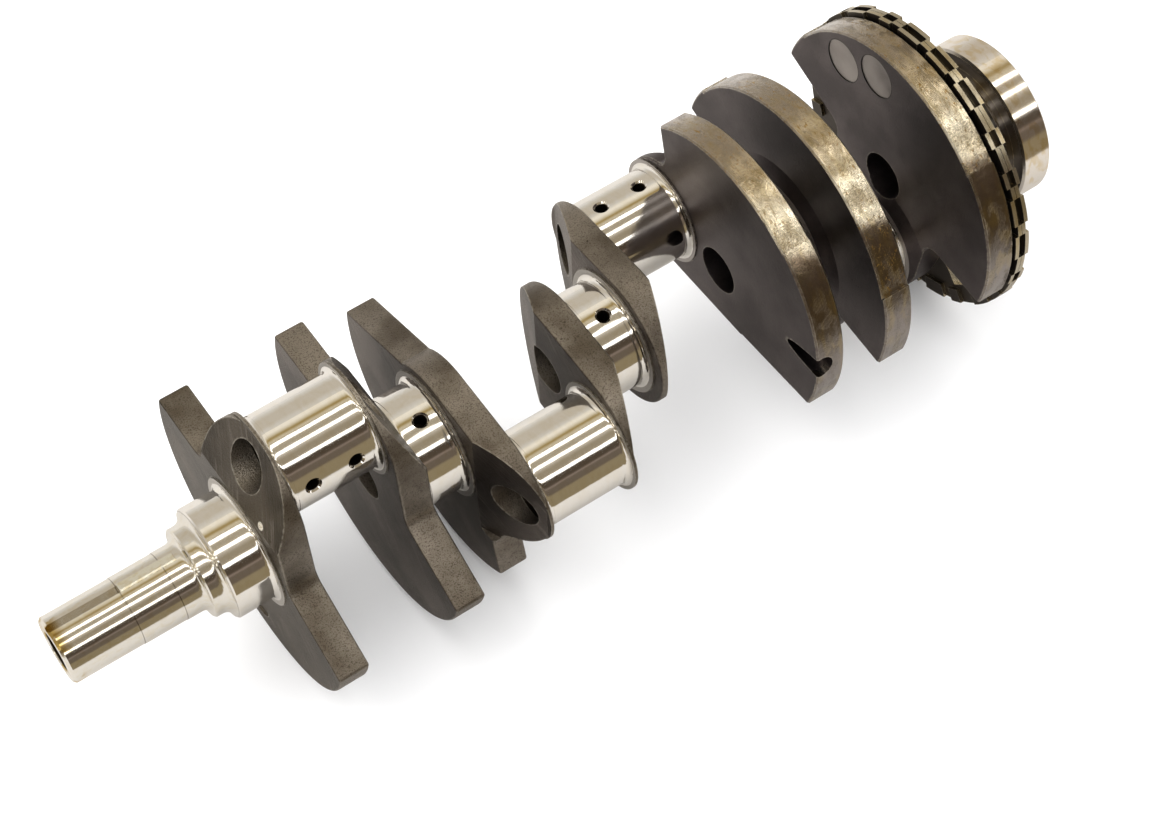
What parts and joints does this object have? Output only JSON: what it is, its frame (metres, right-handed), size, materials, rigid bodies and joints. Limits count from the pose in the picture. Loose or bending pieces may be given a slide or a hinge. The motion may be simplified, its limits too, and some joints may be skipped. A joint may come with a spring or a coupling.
{
  "type": "crankshaft",
  "caption": "Forged cross-plane crankshaft with ground journals, counterweighted webs, keyed snout, toothed trigger ring and bolted rear flange.",
  "frame": {"origin": "on the shaft axis at the centre of the third main journal", "axes": "+X along the shaft from the snout to the rear flange, +Z the direction of the first throw, +Y by the right-hand rule"},
  "size_m": [0.5903, 0.179, 0.179],
  "materials": {
    "journal_steel": "ground and polished bright, thin oil film",
    "snout_steel": "ground bright, light oil stains near the tip",
    "key_steel": "bright drawn key steel",
    "forged_steel": "forged and shot blasted, dark satin grey-brown with tool marks",
    "machined_web_steel": "dark purple-grey faces with a turned bright rim and amber oil stains",
    "ring_steel": "stamped plate, dark faces with bright cut edges",
    "slug_metal": "faced heavy metal with a faint swirl",
    "flange_steel": "turned bright cylinder, darker faces"
  },
  "bodies": {
    "crankshaft": {"snout": "snout_steel", "snout_key": "key_steel", "main_journal_1": "journal_steel", "main_journal_2": "journal_steel", "main_journal_3": "journal_steel", "main_journal_4": "journal_steel", "main_journal_5": "journal_steel", "rod_journal_1": "journal_steel", "rod_journal_2": "journal_steel", "rod_journal_3": "journal_steel", "rod_journal_4": "journal_steel", "web_1": "forged_steel", "web_2": "forged_steel", "web_3": "forged_steel", "web_4": "forged_steel", "web_5": "forged_steel", "web_6": "machined_web_steel", "web_7": "machined_web_steel", "web_8": "machined_web_steel", "reluctor_front_plate": "ring_steel", "reluctor_rear_plate": "ring_steel", "heavy_metal_slug_1": "slug_metal", "heavy_metal_slug_2": "slug_metal", "rear_flange": "flange_steel"}
  },
  "joints": []
}
